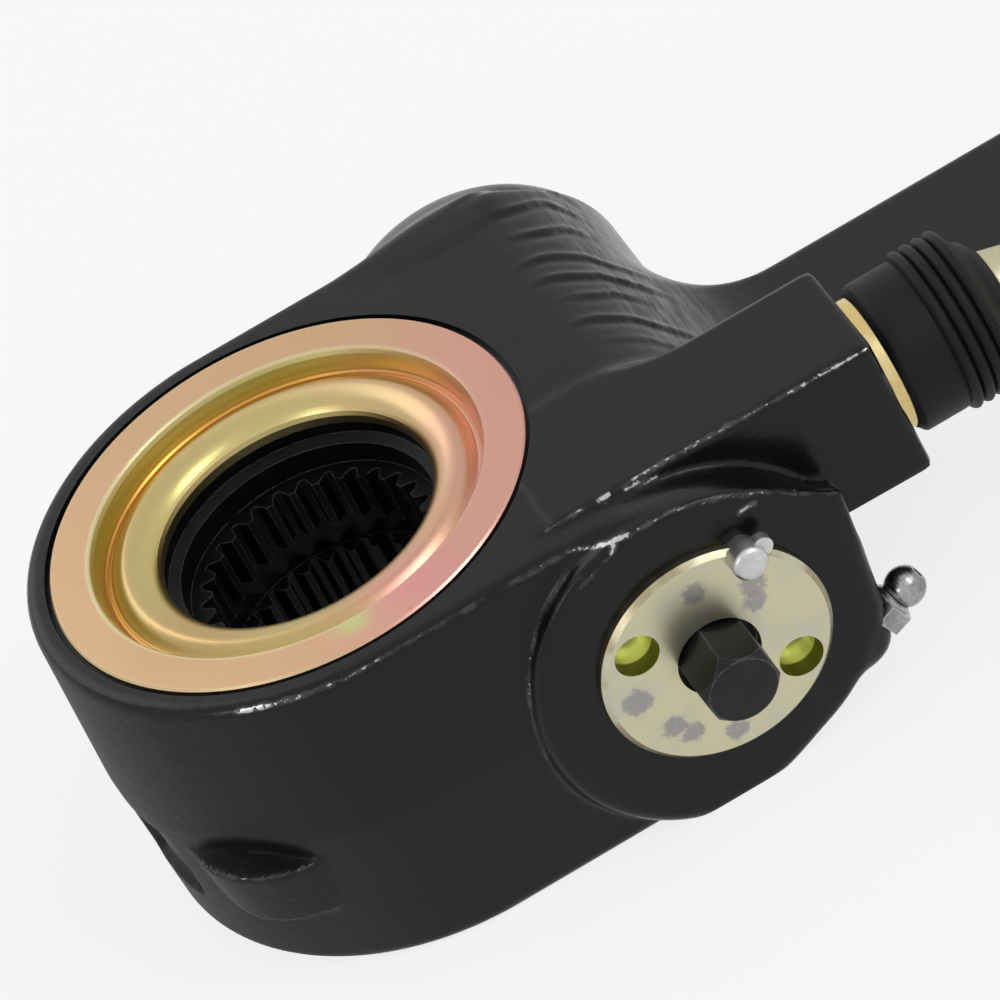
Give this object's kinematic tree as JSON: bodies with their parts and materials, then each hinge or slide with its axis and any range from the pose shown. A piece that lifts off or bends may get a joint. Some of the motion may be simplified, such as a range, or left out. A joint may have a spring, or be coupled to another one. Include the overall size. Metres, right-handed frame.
{
  "type": "automatic brake slack adjuster",
  "caption": "Automatic brake slack adjuster: forged arm body with splined worm wheel, worm with adjusting hex, rack with rubber boot and link rod.",
  "frame": {"origin": "middle of the splined camshaft hole, level with the worm axis", "axes": "+Z along the camshaft axis out of the cover plate, +X along the arm toward the clevis pin, -Y toward the adjusting hex"},
  "size_m": [0.199, 0.112, 0.056],
  "materials": {
    "black_paint": "satin black paint over forged steel",
    "yellow_zinc": "yellow zinc plated sheet",
    "pale_zinc": "pale zinc plated steel",
    "gold_zinc": "gold zinc plated steel",
    "black_oxide": "black oxide steel",
    "steel": "machined steel",
    "bright_steel": "bright plated steel",
    "bronze": "sintered bronze",
    "boot_rubber": "matt black rubber"
  },
  "bodies": {
    "housing": {"housing": "black_paint", "arm_bush": "bronze", "cover_plate": "yellow_zinc", "front_seal": "boot_rubber", "rear_seal": "boot_rubber", "bearing_retainer": "pale_zinc", "shaft_seal": "boot_rubber", "retainer_seal": "boot_rubber", "retainer_washer": "bronze", "worm_washer": "bronze", "disc_springs": "steel", "worm_bush": "bronze", "lock_pin": "bright_steel", "grease_fitting": "bright_steel", "fitting_spring": "bright_steel", "boot_sleeve": "gold_zinc", "boot": "boot_rubber"},
    "wheel": {"worm_wheel": "black_oxide"},
    "worm": {"worm_shaft": "black_oxide", "worm": "steel", "clutch_drum": "steel", "drum_pin": "bright_steel", "clutch_spacer": "bronze"},
    "pinion": {"pinion": "steel", "clutch_spring": "steel"},
    "rack": {"rack_plunger": "steel", "link_pin": "bright_steel"},
    "link": {"link_rod": "pale_zinc"},
    "ball": {"fitting_ball": "bright_steel"}
  },
  "joints": [
    {"name": "wheel_spin", "type": "hinge", "parent": "housing", "child": "wheel", "pos_m": [0, 0, 0], "axis": [0, 0, 1], "continuous": true},
    {"name": "worm_spin", "type": "hinge", "parent": "housing", "child": "worm", "pos_m": [0.0425, 0, 0], "axis": [0, 1, 0], "continuous": true},
    {"name": "rack_slide", "type": "slide", "parent": "housing", "child": "rack", "axis": [1, 0, 0], "range_m": [0, 0.01], "deforming": ["boot"]},
    {"name": "pinion_turn", "type": "hinge", "parent": "housing", "child": "pinion", "pos_m": [0.0425, 0, 0], "axis": [0, 1, 0], "range_deg": [0, 64]},
    {"name": "link_swing", "type": "hinge", "parent": "rack", "child": "link", "pos_m": [0.0746, -0.02615, 0.01485], "axis": [0, 0, 1], "range_deg": [-4, 4], "deforming": ["boot"]},
    {"name": "ball_lift", "type": "slide", "parent": "housing", "child": "ball", "axis": [-0.9205, 0, -0.3907], "range_m": [0, 0.0006], "stiffness_N_per_m": 20, "springref_m": -0.001}
  ],
  "couplings": [
    {"joint": "worm_spin", "follows": "wheel_spin", "ratio": -24},
    {"joint": "pinion_turn", "follows": "rack_slide", "rad_per_m": 111.11}
  ]
}
